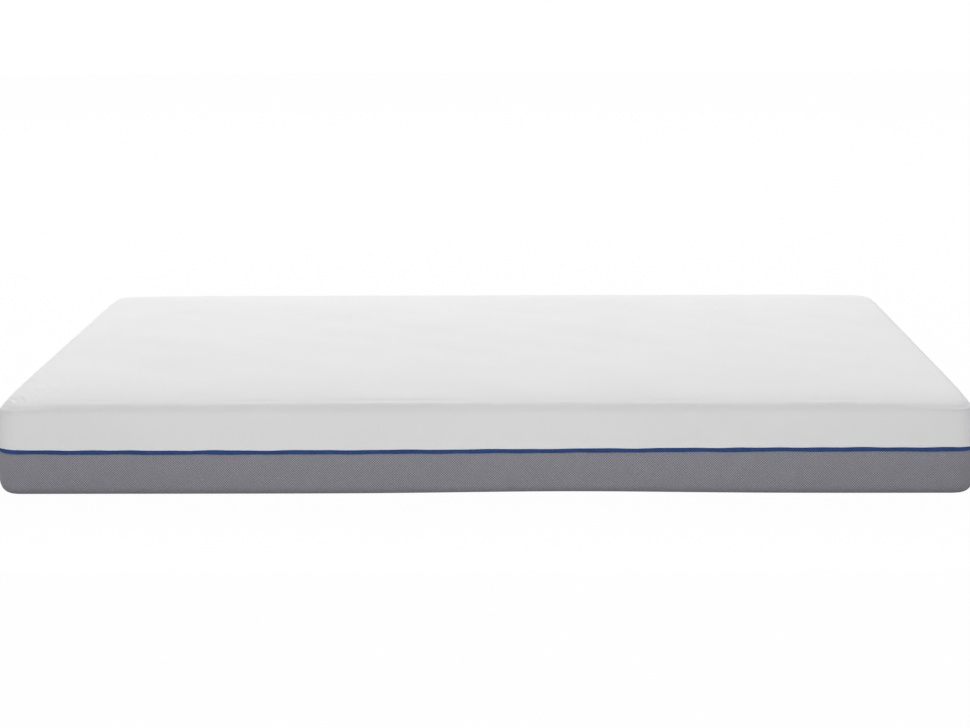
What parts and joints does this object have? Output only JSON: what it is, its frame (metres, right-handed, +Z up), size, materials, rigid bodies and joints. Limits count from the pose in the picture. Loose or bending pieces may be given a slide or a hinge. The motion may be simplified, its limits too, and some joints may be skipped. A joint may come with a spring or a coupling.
{
  "type": "foam mattress",
  "caption": "Foam mattress with a white knit top over rolled edges, blue piping and a grey mesh lower border; the zipped top cover lifts off the glued foam layers inside",
  "frame": {"origin": "middle of the flat base, on the surface the mattress lies on", "axes": "+X along the length, -Y towards the long side that the picture shows, +Y towards the back long side with the zip slider, +Z up"},
  "size_m": [2, 1.4, 0.2053],
  "materials": {
    "white_knit": "matte",
    "blue_piping": "matte",
    "filler_cord": "matte",
    "grey_mesh": "matte",
    "base_weave": "matte",
    "comfort_foam": "matte",
    "memory_foam": "matte",
    "support_foam": "matte",
    "zip_tape": "matte",
    "zip_coil": "satin",
    "zip_metal": "satin"
  },
  "bodies": {
    "base": {"lower_border": "grey_mesh", "base_panel": "base_weave", "support_foam_core": "support_foam", "memory_foam_layer": "memory_foam", "comfort_foam_layer": "comfort_foam", "zip_tape_lower": "zip_tape", "zip_coil_lower": "zip_coil", "zip_stops_lower": "zip_metal"},
    "top_cover": {"top_panel": "white_knit", "upper_border": "white_knit", "piping_cover": "blue_piping", "piping_cord": "filler_cord", "zip_tape_upper": "zip_tape", "zip_coil_upper": "zip_coil", "zip_stops_upper": "zip_metal"},
    "slider": {"zip_slider": "zip_metal"},
    "pull": {"zip_pull": "zip_metal"}
  },
  "joints": [
    {"name": "cover_lift", "type": "slide", "parent": "base", "child": "top_cover", "axis": [0, 0, 1], "range_m": [0, 0.15]},
    {"name": "zip_run", "type": "slide", "parent": "base", "child": "slider", "axis": [-1, 0, 0], "range_m": [0, 1.776]},
    {"name": "pull_swing", "type": "hinge", "parent": "slider", "child": "pull", "pos_m": [0.888, 0.6985, 0.0872], "axis": [1, 0, 0], "range_deg": [0, 120]}
  ]
}
